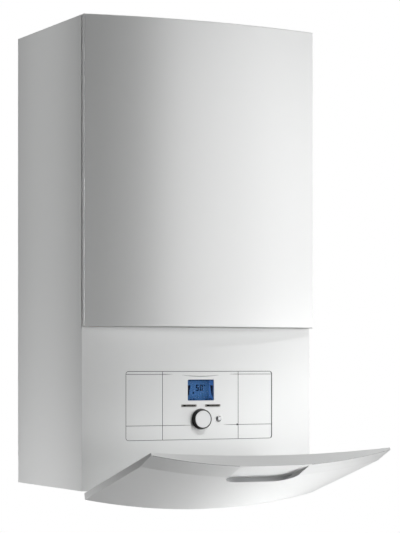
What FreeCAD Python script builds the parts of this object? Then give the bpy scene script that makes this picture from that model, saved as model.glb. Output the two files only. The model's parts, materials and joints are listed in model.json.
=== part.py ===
import FreeCAD, Part
import math
import os

# Wall-hung gas boiler. +X is right seen from the front, +Y points into the wall, +Z is up.
# The origin is the middle of the two wall bolts, on the wall's face. All lengths are in millimetres.

V = FreeCAD.Vector
x_axis = V(1, 0, 0)
y_axis = V(0, 1, 0)
z_axis = V(0, 0, 1)
overrun = 2.0
fit_gap = 0.3
run_gap = 0.05

# Casing
casing_width = 440.0
casing_height = 800.0
side_depth = 286.0
wall_gap = 16.0
bracket_drop = 60.0
sheet = 1.2
frame_sheet = 1.5
side_flange = 12.0
frame_flange = 20.0
tray_flange = 14.0
tray_lift = 48.0
tray_front = 40.0
seam_height = 276.4

half_width = casing_width / 2
inner_half = half_width - sheet - fit_gap
top_z = bracket_drop
floor_z = bracket_drop - casing_height
seam_z = floor_z + seam_height
tray_z = floor_z + tray_lift
back_y = -wall_gap
frame_y = back_y - frame_sheet
side_front_y = back_y - side_depth
flange_back_y = side_front_y + sheet

# Upper front panel and its seal
front_gap = 4.0
front_return = 9.0
front_bow = 23.0
front_flange = 14.0
front_skin = 1.6
front_round = 1.4
seal_inset = 4.0
seal_width = 8.0

panel_back_y = side_front_y - front_gap
panel_edge_y = panel_back_y - front_return

# Wall bracket
bolt_spacing = 300.0
bolt_radius = 4.5
bracket_width = 360.0
bracket_height = 50.0
bracket_sheet = 2.5
hook_width = 70.0
hook_spacing = 180.0
hook_rise = 12.0
hook_seat = 22.0

# Lower fascia and its control aperture
fascia_edge = 1.2
fascia_bow = 8.0
fascia_skin = 2.0
fascia_rim = 6.0
panel_width = 282.0
panel_bottom = 83.3
panel_top = 201.2
panel_corner = 5.0
panel_gap = 0.7
bay_split = 73.0
groove_width = 0.8
groove_depth = 0.6
upper_line = 195.6
lower_line = 108.0
line_break = 58.0

fascia_edge_y = side_front_y - fascia_edge
fascia_mid_y = fascia_edge_y - fascia_bow
panel_half = panel_width / 2
panel_floor_z = floor_z + panel_bottom
panel_top_z = floor_z + panel_top

# Control box and boards
box_margin = 8.0
box_wall = 2.5
box_depth = 60.0
box_ledge = 4.0
boss_radius = 4.0
boss_inset = 14.0
board_sheet = 1.6
board_set_back = 10.0
board_edge = 6.0
main_stand = 5.0
relay_size = 16.0
transformer_size = 38.0

board_y = side_front_y + board_set_back
board_back_y = board_y + board_sheet
box_back_y = side_front_y + box_depth
main_y = box_back_y - box_wall - main_stand

# Display, knob and keys
display_width = 50.6
display_height = 36.2
display_bottom = 150.6
display_corner = 2.0
glass = 2.0
glass_recess = 0.4
knob_height = 118.8
knob_radius = 18.0
knob_length = 7.6
knob_stand = 0.6
knob_taper = 2.4
cap_radius = 14.8
cap_sheet = 2.4
cap_proud = 0.6
shaft_radius = 3.0
encoder_size = 14.0
button_offset = 34.5
button_radius = 5.0
button_proud = 2.8
button_dome = 2.5
key_offset = 23.0
key_width = 28.0
key_height = 3.8
key_level = 142.0
key_proud = 1.2
key_lip = 1.4
key_travel = 1.2
key_gap = 0.25

display_floor_z = floor_z + display_bottom
knob_z = floor_z + knob_height
key_z = floor_z + key_level
knob_back_y = fascia_mid_y - knob_stand
knob_front_y = knob_back_y - knob_length
lip_front_y = side_front_y + fit_gap
lip_back_y = lip_front_y + key_lip

# Drop-down flap
flap_side_gap = 1.0
flap_lift = 2.0
flap_gap = 2.4
flap_bow = 23.0
flap_rim = 11.2
flap_rear_bow = 8.9
flap_skin = 2.2
band_height = 45.0
band_recess = 7.0
flap_open = 73.26
grip_width = 128.0
grip_drop = 34.0
grip_depth = 8.0
grip_corner = 28.0
hinge_forward = 2.6
hinge_drop = 5.6
hinge_inset = 50.0
arm_width = 8.0
arm_radius = 5.0
arm_seat = 7.0
heel_length = 9.0
heel_half = 3.0
cheek = 3.0
pin_radius = 2.5
pin_head = 1.5
bracket_reach = 26.0

hinge_spread = half_width - hinge_inset
flap_half = half_width - flap_side_gap
flap_rear_y = panel_edge_y + flap_rim
flap_floor_z = floor_z + flap_lift
flap_top_z = seam_z - flap_gap
band_z = flap_top_z - band_height
hinge_y = side_front_y - hinge_forward
hinge_z = floor_z - hinge_drop

# Combustion chamber, burner, exchanger and fan
chamber_side_gap = 35.0
chamber_lift = 300.0
chamber_top_gap = 28.0
chamber_front_gap = 17.0
vessel_depth = 78.0
vessel_gap = 12.0
firebox_margin = 45.0
firebox_inset = 16.0
burner_height = 30.0
bar_count = 12
bar_width = 11.0
bar_height = 45.0
manifold_size = 12.0
manifold_stand = 8.0
supply_radius = 6.0
nozzle_radius = 2.5
firebox_height = 150.0
board_thickness = 10.0
board_height = 110.0
fin_count = 40
fin_sheet = 0.8
fin_height = 65.0
tube_count = 4
tube_radius = 9.0
tube_wall = 1.0
header_width = 22.0
hood_height = 55.0
hood_top_radius = 60.0
inlet_radius = 34.0
fan_offset = 70.0
fan_radius = 66.0
fan_height = 50.0
duct_width = 76.0
blade_count = 24
blade_sheet = 1.0
blade_depth = 12.0
blade_margin = 8.0
impeller_radius = 50.0
fan_shaft = 4.0
motor_radius = 34.0
motor_height = 45.0
motor_foot = 2.0

chamber_half = half_width - chamber_side_gap
chamber_z = floor_z + chamber_lift
chamber_top_z = top_z - chamber_top_gap
chamber_back_y = frame_y - vessel_depth - vessel_gap
chamber_front_y = side_front_y + chamber_front_gap
firebox_half = chamber_half - firebox_margin
firebox_back_y = chamber_back_y - firebox_inset
firebox_front_y = chamber_front_y + firebox_inset
firebox_depth = firebox_back_y - firebox_front_y
firebox_mid_y = (firebox_back_y + firebox_front_y) / 2
burner_z = chamber_z + sheet
firebox_z = burner_z + burner_height
fins_z = firebox_z + firebox_height
hood_z = fins_z + fin_height
fan_z = hood_z + hood_height
fan_top_z = fan_z + fan_height
flue_y = firebox_mid_y + fan_radius - duct_width / 2

# Flue collar on the top
flue_bore = 30.0
flue_wall = 1.5
air_bore = 50.0
collar_rise = 20.0
collar_flange = 14.0
collar_sheet = 2.0

# Water side
pipe_pitch = 65.0
pipe_set_back = 62.0
pipe_drop = 45.0
heating_radius = 11.0
water_radius = 7.5
pipe_wall = 1.0
nut_height = 12.0
nut_margin = 5.0
bead_drop = 12.0
bead_height = 3.0
bead_margin = 2.0
block_lift = 75.0
block_height = 30.0
block_width = 113.0
block_gap = 5.0
block_depth = 35.0
foot_width = 30.0
foot_offset = 62.0
pump_radius = 45.0
pump_wall = 4.0
pump_length = 50.0
pump_offset = 118.0
pump_neck = 30.0
pump_clear = 8.0
rotor_radius = 34.0
rotor_height = 14.0
rotor_blades = 6
rotor_shaft = 4.0
pump_motor_radius = 38.0
pump_motor_length = 65.0
plate_count = 16
plate_sheet = 2.6
plate_step = 3.0
plate_height = 70.0
plate_clear = 6.0
valve_half = 40.0
valve_rear = 33.0
valve_height = 90.0
valve_clear = 32.0
coil_radius = 15.0
coil_height = 26.0
coil_drop = 20.0
riser_offset = 56.0
riser_radius = 9.0
riser_clear = 28.0
pipe_bend = 15.0
relief_radius = 12.0
relief_length = 26.0
relief_offset = 127.0
relief_knob_radius = 16.0
relief_knob_length = 15.0
relief_stem = 4.0
vessel_margin = 45.0
vessel_round = 24.0
vessel_crimp = 4.0
vessel_rise = 30.0
vessel_top_gap = 80.0
gland_radius = 10.0
gland_bore = 4.5
gland_length = 16.0

gland_x = pipe_pitch + half_width / 2
pipe_y = -pipe_set_back
block_z = floor_z + block_lift
block_top_z = block_z + block_height
block_front_y = pipe_y - block_depth / 2
block_inner = valve_half + block_gap
riser_z = chamber_z - riser_clear
pump_z = riser_z - riser_radius - pump_clear - pump_radius
plate_x0 = relief_knob_radius + plate_clear - relief_offset
plate_x1 = pump_offset - pump_radius - pump_clear
valve_z = riser_z - valve_clear - valve_height
vessel_z = chamber_z + vessel_rise
manifold_y = firebox_front_y - manifold_stand
manifold_z = burner_z + burner_height / 2

# Screws
screw_radius = 2.0
screw_head = 4.0
screw_head_height = 1.6
screw_length = 6.0
screw_inset = 40.0


def box(x0, x1, y0, y1, z0, z1):
    return Part.makeBox(abs(x1 - x0), abs(y1 - y0), abs(z1 - z0), V(min(x0, x1), min(y0, y1), min(z0, z1)))


def rod(radius, length, base, direction):
    return Part.makeCylinder(radius, length, base, direction)


def ring(outer, inner, length, base, direction):
    core = rod(inner, length + 2 * overrun, base - direction * overrun, direction)
    return rod(outer, length, base, direction).cut(core)


def joined(shapes):
    return shapes[0].multiFuse(shapes[1:]).removeSplitter()


def group(shapes):
    return Part.makeCompound(shapes)


def mirrored(shape):
    return shape.mirror(V(0, 0, 0), x_axis)


def bow_wire(half, edge_y, bow, rear_y, rear_bow, z):
    left, right = V(-half, edge_y, z), V(half, edge_y, z)
    rear_left, rear_right = V(-half, rear_y, z), V(half, rear_y, z)
    front = Part.Arc(left, V(0, edge_y - bow, z), right).toShape()
    if rear_bow > 0:
        rear = Part.Arc(rear_right, V(0, rear_y - rear_bow, z), rear_left).toShape()
    else:
        rear = Part.makeLine(rear_right, rear_left)
    return Part.Wire([front, Part.makeLine(right, rear_right), rear, Part.makeLine(rear_left, left)])


def bowed(half, edge_y, bow, rear_y, rear_bow, z0, z1):
    return Part.Face(bow_wire(half, edge_y, bow, rear_y, rear_bow, z0)).extrude(V(0, 0, z1 - z0))


def rounded(x0, x1, y0, y1, z0, z1, radius):
    solid = box(x0, x1, y0, y1, z0, z1)
    return solid.makeFillet(radius, [e for e in solid.Edges if abs(e.tangentAt(e.FirstParameter).y) > 0.5])


def bent_path(points, bend):
    edges, start = [], points[0]
    for before, corner, after in zip(points, points[1:], points[2:]):
        come, go = (corner - before).normalize(), (after - corner).normalize()
        turn = come.getAngle(go)
        reach = bend * math.tan(turn / 2)
        enter, leave = corner - come * reach, corner + go * reach
        inward = (go - come).normalize()
        middle = corner + inward * (bend / math.cos(turn / 2) - bend)
        edges += [Part.makeLine(start, enter), Part.Arc(enter, middle, leave).toShape()]
        start = leave
    return Part.Wire(edges + [Part.makeLine(start, points[-1])])


def bent_tube(points, bend, radius, wall):
    path = bent_path(points, bend)
    along = (points[1] - points[0]).normalize()
    sweeps = []
    for size in (radius, radius - wall):
        section = Part.Wire(Part.Circle(points[0], along, size).toShape())
        sweeps.append(path.makePipeShell([section], True, False))
    return sweeps[0].cut(sweeps[1])


def hexagon(across_half, length, base):
    corner_radius = across_half / math.cos(math.pi / 6)
    points = [base + V(math.cos(k * math.pi / 3), math.sin(k * math.pi / 3), 0) * corner_radius
              for k in range(7)]
    return Part.Face(Part.makePolygon(points)).extrude(z_axis * length)


def screw(seat, inward):
    shank = rod(screw_radius, screw_length, seat, inward)
    return shank.fuse(rod(screw_head, screw_head_height, seat - inward * screw_head_height, inward))


# Casing

def wall_bracket():
    half = bracket_height / 2
    strip = box(-bracket_width / 2, bracket_width / 2, -bracket_sheet, 0, -half, half)
    tongues = []
    for side in (-1, 1):
        x0, x1 = side * hook_spacing / 2 - hook_width / 2, side * hook_spacing / 2 + hook_width / 2
        reach_y = frame_y - fit_gap - bracket_sheet
        tongues.append(box(x0, x1, reach_y, -bracket_sheet, half - bracket_sheet, half))
        tongues.append(box(x0, x1, reach_y, frame_y - fit_gap, half, half + hook_rise))
    holes = [rod(bolt_radius, bracket_sheet + 2 * overrun, V(x, overrun, 0), -y_axis)
             for x in (-bolt_spacing / 2, bolt_spacing / 2)]
    return joined([strip] + tongues).cut(holes)


def rear_frame():
    plate = box(-inner_half, inner_half, frame_y, back_y, tray_z + sheet, top_z - sheet)
    flanges = [box(side * inner_half, side * (inner_half - frame_sheet), frame_y - frame_flange, back_y,
                   tray_z + sheet, top_z - sheet) for side in (-1, 1)]
    windows = []
    for side in (-1, 1):
        middle, reach = side * hook_spacing / 2, hook_width / 2 + fit_gap
        seat_z = bracket_height / 2
        windows.append(box(middle - reach, middle + reach, frame_y - overrun, back_y + overrun,
                           seat_z - hook_seat, seat_z))
    return joined([plate] + flanges).cut(windows)


def side_panel():
    wall = box(-half_width, -half_width + sheet, side_front_y, back_y, floor_z, top_z)
    flange = box(-half_width + sheet, -half_width + side_flange, side_front_y, flange_back_y, floor_z, top_z)
    lug = box(-half_width, -half_width + side_flange, back_y, back_y + sheet, tray_z, top_z)
    return group([wall, flange, lug])


def flue_hole(extra, z0, z1):
    return rod(flue_bore + flue_wall + extra, z1 - z0 + 2 * overrun, V(0, flue_y, z0 - overrun), z_axis)


def top_panel():
    front_y = flange_back_y + fit_gap
    plate = box(-inner_half, inner_half, front_y, back_y, top_z - sheet, top_z)
    lip = box(-inner_half, inner_half, front_y, front_y + sheet, top_z - tray_flange, top_z)
    hole = rod(air_bore, sheet + 2 * overrun, V(0, flue_y, top_z - sheet - overrun), z_axis)
    return joined([plate, lip]).cut(hole)


def pipe_rows():
    rows = [("heating_flow_pipe", heating_radius), ("hot_water_pipe", water_radius),
            ("gas_inlet_pipe", water_radius), ("cold_water_pipe", water_radius),
            ("heating_return_pipe", heating_radius)]
    return [(name, (k - 2) * pipe_pitch, radius) for k, (name, radius) in enumerate(rows)]


def bottom_tray():
    front_y = flange_back_y + fit_gap
    step_y = front_y + tray_front
    rear_y = frame_y - frame_flange - fit_gap
    sheets = [box(-inner_half, inner_half, front_y, step_y, floor_z, floor_z + sheet),
              box(-inner_half, inner_half, front_y, front_y + sheet, floor_z, floor_z + tray_flange),
              box(-inner_half, inner_half, step_y - sheet, step_y, floor_z, tray_z + sheet),
              box(-inner_half, inner_half, step_y - sheet, back_y, tray_z, tray_z + sheet)]
    flanges = [box(side * inner_half, side * (inner_half - sheet), step_y - sheet, rear_y,
                   tray_z + sheet, tray_z + tray_flange) for side in (-1, 1)]
    deep = sheet + 2 * overrun
    holes = [rod(radius + fit_gap, deep, V(x, pipe_y, tray_z - overrun), z_axis)
             for _, x, radius in pipe_rows()]
    holes.append(rod(gland_radius - sheet, deep, V(gland_x, pipe_y, tray_z - overrun), z_axis))
    return group([joined(sheets).cut(holes)] + flanges)


def front_panel():
    outer = bowed(half_width, panel_edge_y, front_bow, panel_back_y, 0, seam_z, top_z)
    front_edges = [e for e in outer.Edges if e.BoundBox.YMax < panel_edge_y + fit_gap]
    outer = outer.makeFillet(front_round, front_edges)
    hollow = bowed(half_width - front_skin, panel_edge_y + front_skin, front_bow, panel_back_y - front_skin,
                   0, seam_z + front_skin, top_z - front_skin)
    opening = box(-half_width + front_flange, half_width - front_flange, panel_back_y - 2 * front_skin,
                  panel_back_y + overrun, seam_z + front_flange, top_z - front_flange)
    return outer.cut(hollow).cut(opening)


def front_seal():
    half = half_width - seal_inset
    inner = half - seal_width
    low, high = seam_z + seal_inset, top_z - seal_inset
    frame = box(-half, half, panel_back_y, side_front_y, low, high)
    return frame.cut(box(-inner, inner, panel_back_y - overrun, side_front_y + overrun,
                         low + seal_width, high - seal_width))


def fascia_block():
    return bowed(half_width, fascia_edge_y, fascia_bow, side_front_y, 0, floor_z, seam_z - fit_gap)


def control_fascia():
    cavity = bowed(half_width - fascia_rim, fascia_edge_y + fascia_skin, fascia_bow, side_front_y + overrun,
                   0, floor_z + fascia_rim, seam_z - fascia_rim)
    collar = box(-panel_half - fascia_skin, panel_half + fascia_skin, fascia_mid_y,
                 side_front_y + 2 * overrun, panel_floor_z - fascia_skin, panel_top_z + fascia_skin)
    aperture = rounded(-panel_half, panel_half, fascia_mid_y - overrun, side_front_y + overrun,
                       panel_floor_z, panel_top_z, panel_corner)
    return fascia_block().cut(cavity.cut(collar)).cut(aperture)


def screw_seats():
    x = half_width - side_flange / 2
    levels = (tray_z + screw_inset, (tray_z + top_z) / 2, top_z - screw_inset)
    return [V(side * x, back_y + sheet, z) for side in (-1, 1) for z in levels]


def casing_screws():
    return group([screw(seat, -y_axis) for seat in screw_seats()])


def screw_holes(shape):
    reach = screw_length + screw_head
    return shape.cut([rod(screw_radius + run_gap, 2 * reach, seat + y_axis * reach, -y_axis)
                      for seat in screw_seats()])


def cable_gland():
    base = V(gland_x, pipe_y, tray_z - gland_length / 2)
    collar = ring(gland_radius, gland_bore, gland_length / 2, base, z_axis)
    neck = ring(gland_radius - sheet - run_gap, gland_bore, gland_length, base, z_axis)
    return joined([collar, neck])


# Controls

def insert_block(x0, x1):
    low, high = panel_floor_z + panel_gap, panel_top_z - panel_gap
    outline = rounded(-panel_half + panel_gap, panel_half - panel_gap, fascia_mid_y - overrun,
                      side_front_y + overrun, low, high, panel_corner - panel_gap)
    strip = box(x0, x1, fascia_mid_y - overrun, side_front_y, low, high)
    return fascia_block().common(outline).common(strip)


def design_lines(shape):
    skin = fascia_block()
    inside = skin.copy()
    inside.translate(y_axis * groove_depth)
    rind = skin.cut(inside)
    runs = [(lower_line, -panel_half, panel_half), (upper_line, -panel_half, -line_break),
            (upper_line, line_break, panel_half)]
    for level, x0, x1 in runs:
        z = floor_z + level
        shape = shape.cut(rind.common(box(x0, x1, fascia_mid_y - overrun, side_front_y, z,
                                          z + groove_width)))
    return shape


def centre_insert():
    plate = design_lines(insert_block(-bay_split + panel_gap / 2, bay_split - panel_gap / 2))
    deep = fascia_bow + fascia_edge + 2 * overrun
    start_y = side_front_y + overrun
    window = rounded(-display_width / 2, display_width / 2, start_y - deep, start_y,
                     display_floor_z, display_floor_z + display_height, display_corner)
    cuts = [window, rod(shaft_radius + fit_gap, deep, V(0, start_y, knob_z), -y_axis),
            rod(button_radius + key_gap, deep, V(button_offset, start_y, knob_z), -y_axis)]
    for side in (-1, 1):
        half, tall = key_width / 2 + key_gap, key_height / 2 + key_gap
        x = side * key_offset
        cuts.append(box(x - half, x + half, start_y - deep, start_y, key_z - tall, key_z + tall))
    return plate.cut(cuts)


def bay_cover():
    return design_lines(insert_block(-panel_half, -bay_split - panel_gap / 2))


def control_box():
    half = panel_half + box_margin
    low, high = panel_floor_z - box_margin, panel_top_z + box_margin
    shell = box(-half, half, side_front_y, box_back_y, low, high)
    room = box(-half + box_wall, half - box_wall, side_front_y + box_wall, box_back_y - box_wall,
               low + box_wall, high - box_wall)
    mouth_half = bay_split - box_ledge
    mouth = box(-mouth_half, mouth_half, side_front_y - overrun, side_front_y + 2 * box_wall,
                panel_floor_z + box_ledge, panel_top_z - box_ledge)
    bosses = []
    for x in (-bay_split + boss_inset, bay_split - boss_inset):
        for z in (panel_floor_z + boss_inset, panel_top_z - boss_inset):
            bosses.append(rod(boss_radius, box_back_y - box_wall - board_back_y,
                              V(x, box_back_y - box_wall, z),
                              -y_axis))
    return joined([shell.cut(room).cut(mouth)] + bosses)


def board_plate(half, y):
    return box(-half, half, y, y + board_sheet, panel_floor_z + board_edge, panel_top_z - board_edge)


def key_places():
    return [(button_offset, knob_z), (-key_offset, key_z), (key_offset, key_z)]


def display_board():
    switches = []
    for x, z in key_places():
        tip_y = lip_back_y + key_travel + fit_gap
        switches.append(box(x - shaft_radius, x + shaft_radius, board_y, tip_y, z - shaft_radius,
                            z + shaft_radius))
    return group([joined([board_plate(bay_split - board_edge, board_y)] + switches), knob_encoder()])


def main_board():
    half = panel_half - boss_inset
    plate = board_plate(half, main_y)
    bosses = [rod(boss_radius + fit_gap, board_sheet + 2 * overrun, V(x, main_y - overrun, z), y_axis)
              for x in (-bay_split + boss_inset, bay_split - boss_inset)
              for z in (panel_floor_z + boss_inset, panel_top_z - boss_inset)]
    stands = [box(side * half, side * (half - boss_radius), main_y + board_sheet, box_back_y - box_wall,
                  panel_floor_z + board_edge, panel_top_z - board_edge) for side in (-1, 1)]
    plate = joined([plate.cut(bosses)] + stands)
    middle_z = (panel_floor_z + panel_top_z) / 2
    pieces = [box(-half + relay_size, -half + relay_size + transformer_size, main_y - transformer_size,
                  main_y, middle_z - transformer_size / 2, middle_z + transformer_size / 2)]
    for k in range(3):
        x = half - 2 * relay_size
        z = middle_z + (k - 1) * 2 * relay_size
        pieces.append(box(x, x + relay_size, main_y - relay_size, main_y, z - relay_size / 2,
                          z + relay_size / 2))
    return group([plate] + pieces)


def display_window():
    front_y = fascia_mid_y + glass_recess
    half = display_width / 2 - fit_gap
    return rounded(-half, half, front_y, front_y + glass, display_floor_z + fit_gap,
                   display_floor_z + display_height - fit_gap, display_corner - fit_gap)


def display_module():
    half = display_width / 2 - fit_gap
    return rounded(-half, half, fascia_mid_y + glass_recess + glass, board_y, display_floor_z + fit_gap,
                   display_floor_z + display_height - fit_gap, display_corner - fit_gap)


def selector_knob():
    body = Part.makeCone(knob_radius, knob_radius - knob_taper, knob_length, V(0, knob_back_y, knob_z),
                         -y_axis)
    pocket = rod(cap_radius + run_gap, cap_sheet + overrun, V(0, knob_front_y + cap_sheet, knob_z), -y_axis)
    shaft_length = board_y - knob_back_y - fit_gap
    shaft = rod(shaft_radius, shaft_length, V(0, knob_back_y, knob_z), y_axis)
    return joined([body.cut(pocket), shaft])


def knob_cap():
    disc = rod(cap_radius, cap_sheet + cap_proud, V(0, knob_front_y + cap_sheet, knob_z), -y_axis)
    rim = [e for e in disc.Edges if e.BoundBox.YMax < knob_front_y]
    return disc.makeFillet(cap_proud, rim)


def knob_encoder():
    half = encoder_size / 2
    body = box(-half, half, board_y, side_front_y + box_wall, knob_z - half, knob_z + half)
    bore = rod(shaft_radius + run_gap, board_set_back + 2 * overrun, V(0, board_y + overrun, knob_z),
               -y_axis)
    return body.cut(bore)


def reset_button():
    x = button_offset
    front_y = fascia_mid_y - button_proud
    stem = rod(button_radius, lip_back_y - front_y, V(x, lip_back_y, knob_z), -y_axis)
    stem = stem.makeFillet(button_dome, [e for e in stem.Edges if e.BoundBox.YMax < front_y + run_gap])
    lip = rod(button_radius + key_lip, key_lip, V(x, lip_back_y, knob_z), -y_axis)
    return joined([stem, lip])


def soft_key(x):
    half, tall = key_width / 2, key_height / 2
    bar = rounded(x - half, x + half, fascia_mid_y - key_proud, lip_back_y, key_z - tall, key_z + tall,
                  key_height / 4)
    lip = box(x - half - key_lip, x + half + key_lip, lip_front_y, lip_back_y,
              key_z - tall - key_lip, key_z + tall + key_lip)
    key = joined([bar, lip])
    guard = rod(shaft_radius + key_lip, key_lip + 2 * overrun, V(0, lip_front_y - overrun, knob_z), y_axis)
    return key.cut(guard)


# Flap

def opened(shape):
    return shape.rotated(V(0, hinge_y, hinge_z), x_axis, flap_open)


def flap_outer():
    lower = bowed(flap_half, panel_edge_y, flap_bow, flap_rear_y, flap_rear_bow, flap_floor_z, band_z)
    wires = [bow_wire(flap_half, panel_edge_y, flap_bow, flap_rear_y, flap_rear_bow, band_z),
             bow_wire(flap_half, panel_edge_y + band_recess, flap_bow, flap_rear_y, flap_rear_bow,
                      flap_top_z)]
    return joined([lower, Part.makeLoft(wires, True, True)])


def flap_hollow():
    half = flap_half - flap_skin
    edge_y, rear_y = panel_edge_y + flap_skin, flap_rear_y + overrun
    low, high = flap_floor_z + flap_skin, flap_top_z - flap_skin
    lower = bowed(half, edge_y, flap_bow, rear_y, flap_rear_bow, low, band_z)
    wires = [bow_wire(half, edge_y, flap_bow, rear_y, flap_rear_bow, band_z),
             bow_wire(half, edge_y + band_recess, flap_bow, rear_y, flap_rear_bow, high)]
    return joined([lower, Part.makeLoft(wires, True, True)])


def grip_scoop(extra):
    half = grip_width / 2 + extra
    deep_y = panel_edge_y - flap_bow + grip_depth + extra
    low = band_z - grip_drop - extra
    return rounded(-half, half, panel_edge_y - 2 * flap_bow, deep_y, low,
                   flap_top_z + grip_depth + grip_corner, grip_corner + extra)


def front_flap():
    return opened(flap_outer().cut(grip_scoop(0)).cut(flap_hollow().cut(grip_scoop(flap_skin))))


def flap_hinge_arms():
    arms = []
    for x in (-hinge_spread, hinge_spread):
        share = 1 - (hinge_spread / flap_half) ** 2
        seat_y = panel_edge_y - flap_bow * share + flap_skin
        outline = [V(x, seat_y, flap_floor_z), V(x, seat_y + arm_seat, flap_floor_z),
                   V(x, hinge_y + arm_radius, hinge_z), V(x, hinge_y - arm_radius, hinge_z)]
        web = Part.Face(Part.makePolygon(outline + outline[:1])).extrude(x_axis * arm_width)
        eye = rod(arm_radius, arm_width, V(x, hinge_y, hinge_z), x_axis)
        heel = box(x, x + arm_width, hinge_y, hinge_y + heel_length, hinge_z - heel_half,
                   hinge_z + heel_half)
        bore = rod(pin_radius + run_gap, arm_width + 2 * overrun, V(x - overrun, hinge_y, hinge_z), x_axis)
        arm = joined([opened(joined([web, eye])), heel]).cut(bore)
        arm.translate(x_axis * -arm_width / 2)
        arms.append(arm)
    return group(arms)


def flap_hinge_brackets():
    brackets = []
    for x in (-hinge_spread, hinge_spread):
        inner = arm_width / 2 + fit_gap
        outer = inner + cheek
        rear_y = hinge_y + bracket_reach
        stop_z = hinge_z + heel_half + fit_gap / 2
        web = box(x - inner, x + inner, hinge_y + arm_radius, rear_y, stop_z, floor_z)
        cheeks = []
        for x0, x1 in ((x - outer, x - inner), (x + inner, x + outer)):
            leg = box(x0, x1, hinge_y, rear_y, hinge_z - arm_radius, floor_z)
            nose = rod(arm_radius, cheek, V(x0, hinge_y, hinge_z), x_axis)
            cheeks.append(joined([leg, nose]))
        reach = 2 * outer + 2 * overrun
        bore = rod(pin_radius + run_gap, reach, V(x - reach / 2, hinge_y, hinge_z), x_axis)
        brackets.append(joined([web] + cheeks).cut(bore))
    return group(brackets)


def flap_hinge_pins():
    pins = []
    for x in (-hinge_spread, hinge_spread):
        outer = arm_width / 2 + fit_gap + cheek
        shank = rod(pin_radius, 2 * outer, V(x - outer, hinge_y, hinge_z), x_axis)
        head = rod(pin_radius + pin_head, pin_head, V(x - outer - pin_head, hinge_y, hinge_z), x_axis)
        pins.append(joined([shank, head]))
    return group(pins)


# Combustion side

def chamber_shell():
    outer = box(-chamber_half, chamber_half, chamber_front_y, chamber_back_y, chamber_z, chamber_top_z)
    room = box(-chamber_half + sheet, chamber_half - sheet, chamber_front_y - overrun,
               chamber_back_y - sheet, chamber_z + sheet, chamber_top_z - sheet)
    legs = [box(side * chamber_half, side * (chamber_half - sheet), chamber_back_y - sheet, frame_y,
                chamber_z, chamber_top_z) for side in (-1, 1)]
    holes = [flue_hole(fit_gap, chamber_top_z - sheet, chamber_top_z)]
    deep = sheet + 2 * overrun
    holes += [rod(riser_radius + fit_gap, deep, V(x, firebox_mid_y, chamber_z - overrun), z_axis)
              for x in (-header_x(), header_x())]
    holes.append(rod(supply_radius + fit_gap, deep, V(0, manifold_y, chamber_z - overrun), z_axis))
    return joined([outer.cut(room)] + legs).cut(holes)


def chamber_cover():
    return box(-chamber_half, chamber_half, chamber_front_y - sheet, chamber_front_y, chamber_z,
               chamber_top_z)


def tray_box(z0, z1, wall):
    outer = box(-firebox_half, firebox_half, firebox_front_y, firebox_back_y, z0, z1)
    return outer.cut(box(-firebox_half + wall, firebox_half - wall, firebox_front_y + wall,
                         firebox_back_y - wall, z0 - overrun, z1 + overrun))


def burner_frame():
    floor = box(-firebox_half, firebox_half, firebox_front_y, firebox_back_y, burner_z, burner_z + sheet)
    return joined([tray_box(burner_z, firebox_z, sheet), floor])


def burner_bars():
    pitch = 2 * (firebox_half - bar_width) / bar_count
    bars = []
    for k in range(bar_count):
        x = (k - (bar_count - 1) / 2) * pitch
        bar = box(x - bar_width / 2, x + bar_width / 2, firebox_front_y + bar_width,
                  firebox_back_y - bar_width, burner_z + sheet, burner_z + sheet + bar_height)
        slot = box(x - blade_sheet, x + blade_sheet, firebox_front_y + 2 * bar_width,
                   firebox_back_y - 2 * bar_width,
                   burner_z + bar_height / 2, burner_z + sheet + bar_height + overrun)
        bars.append(bar.cut(slot))
    return group(bars)


def burner_manifold():
    half = firebox_half - bar_width
    rail_half = manifold_size / 2 - nozzle_radius
    rail = box(-half, half, manifold_y - rail_half, manifold_y + rail_half,
               manifold_z - manifold_size / 2, manifold_z + manifold_size / 2)
    pitch = 2 * half / bar_count
    places = [V((k - (bar_count - 1) / 2) * pitch, manifold_y + rail_half, manifold_z)
              for k in range(bar_count)]
    nozzles = [rod(nozzle_radius, manifold_stand - rail_half, place, y_axis) for place in places]
    return joined([rail] + nozzles)


def combustion_box():
    return tray_box(firebox_z, fins_z, sheet)


def insulation_boards():
    low = fins_z - board_height
    inner = firebox_half - sheet
    front_y, rear_y = firebox_front_y + sheet, firebox_back_y - sheet
    boards = [box(side * inner, side * (inner - board_thickness), front_y, rear_y, low, fins_z)
              for side in (-1, 1)]
    x = inner - board_thickness
    boards.append(box(-x, x, front_y, front_y + board_thickness, low, fins_z))
    boards.append(box(-x, x, rear_y - board_thickness, rear_y, low, fins_z))
    return group(boards)


def header_x():
    return firebox_half + header_width / 2


def tube_places():
    pitch = firebox_depth / tube_count
    return [firebox_front_y + (k + 0.5) * pitch for k in range(tube_count)]


def exchanger_fins():
    pitch = (2 * firebox_half - fin_sheet) / (fin_count - 1)
    middle_z = fins_z + fin_height / 2
    fins = []
    for k in range(fin_count):
        x = -firebox_half + k * pitch
        fin = box(x, x + fin_sheet, firebox_front_y, firebox_back_y, fins_z, hood_z)
        fins.append(fin.cut([rod(tube_radius + run_gap, fin_sheet + 2 * overrun,
                                 V(x - overrun, y, middle_z), x_axis)
                             for y in tube_places()]))
    return group(fins)


def exchanger_tubes():
    middle_z = fins_z + fin_height / 2
    length = 2 * firebox_half
    tubes = [rod(tube_radius, length, V(-firebox_half, y, middle_z), x_axis) for y in tube_places()]
    bores = [rod(tube_radius - tube_wall, length, V(-firebox_half, y, middle_z), x_axis)
             for y in tube_places()]
    headers = [box(side * firebox_half, side * (firebox_half + header_width), firebox_front_y,
                   firebox_back_y, middle_z - tube_radius, middle_z + tube_radius) for side in (-1, 1)]
    return joined([joined(tubes + headers)]).cut(bores)


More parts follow.
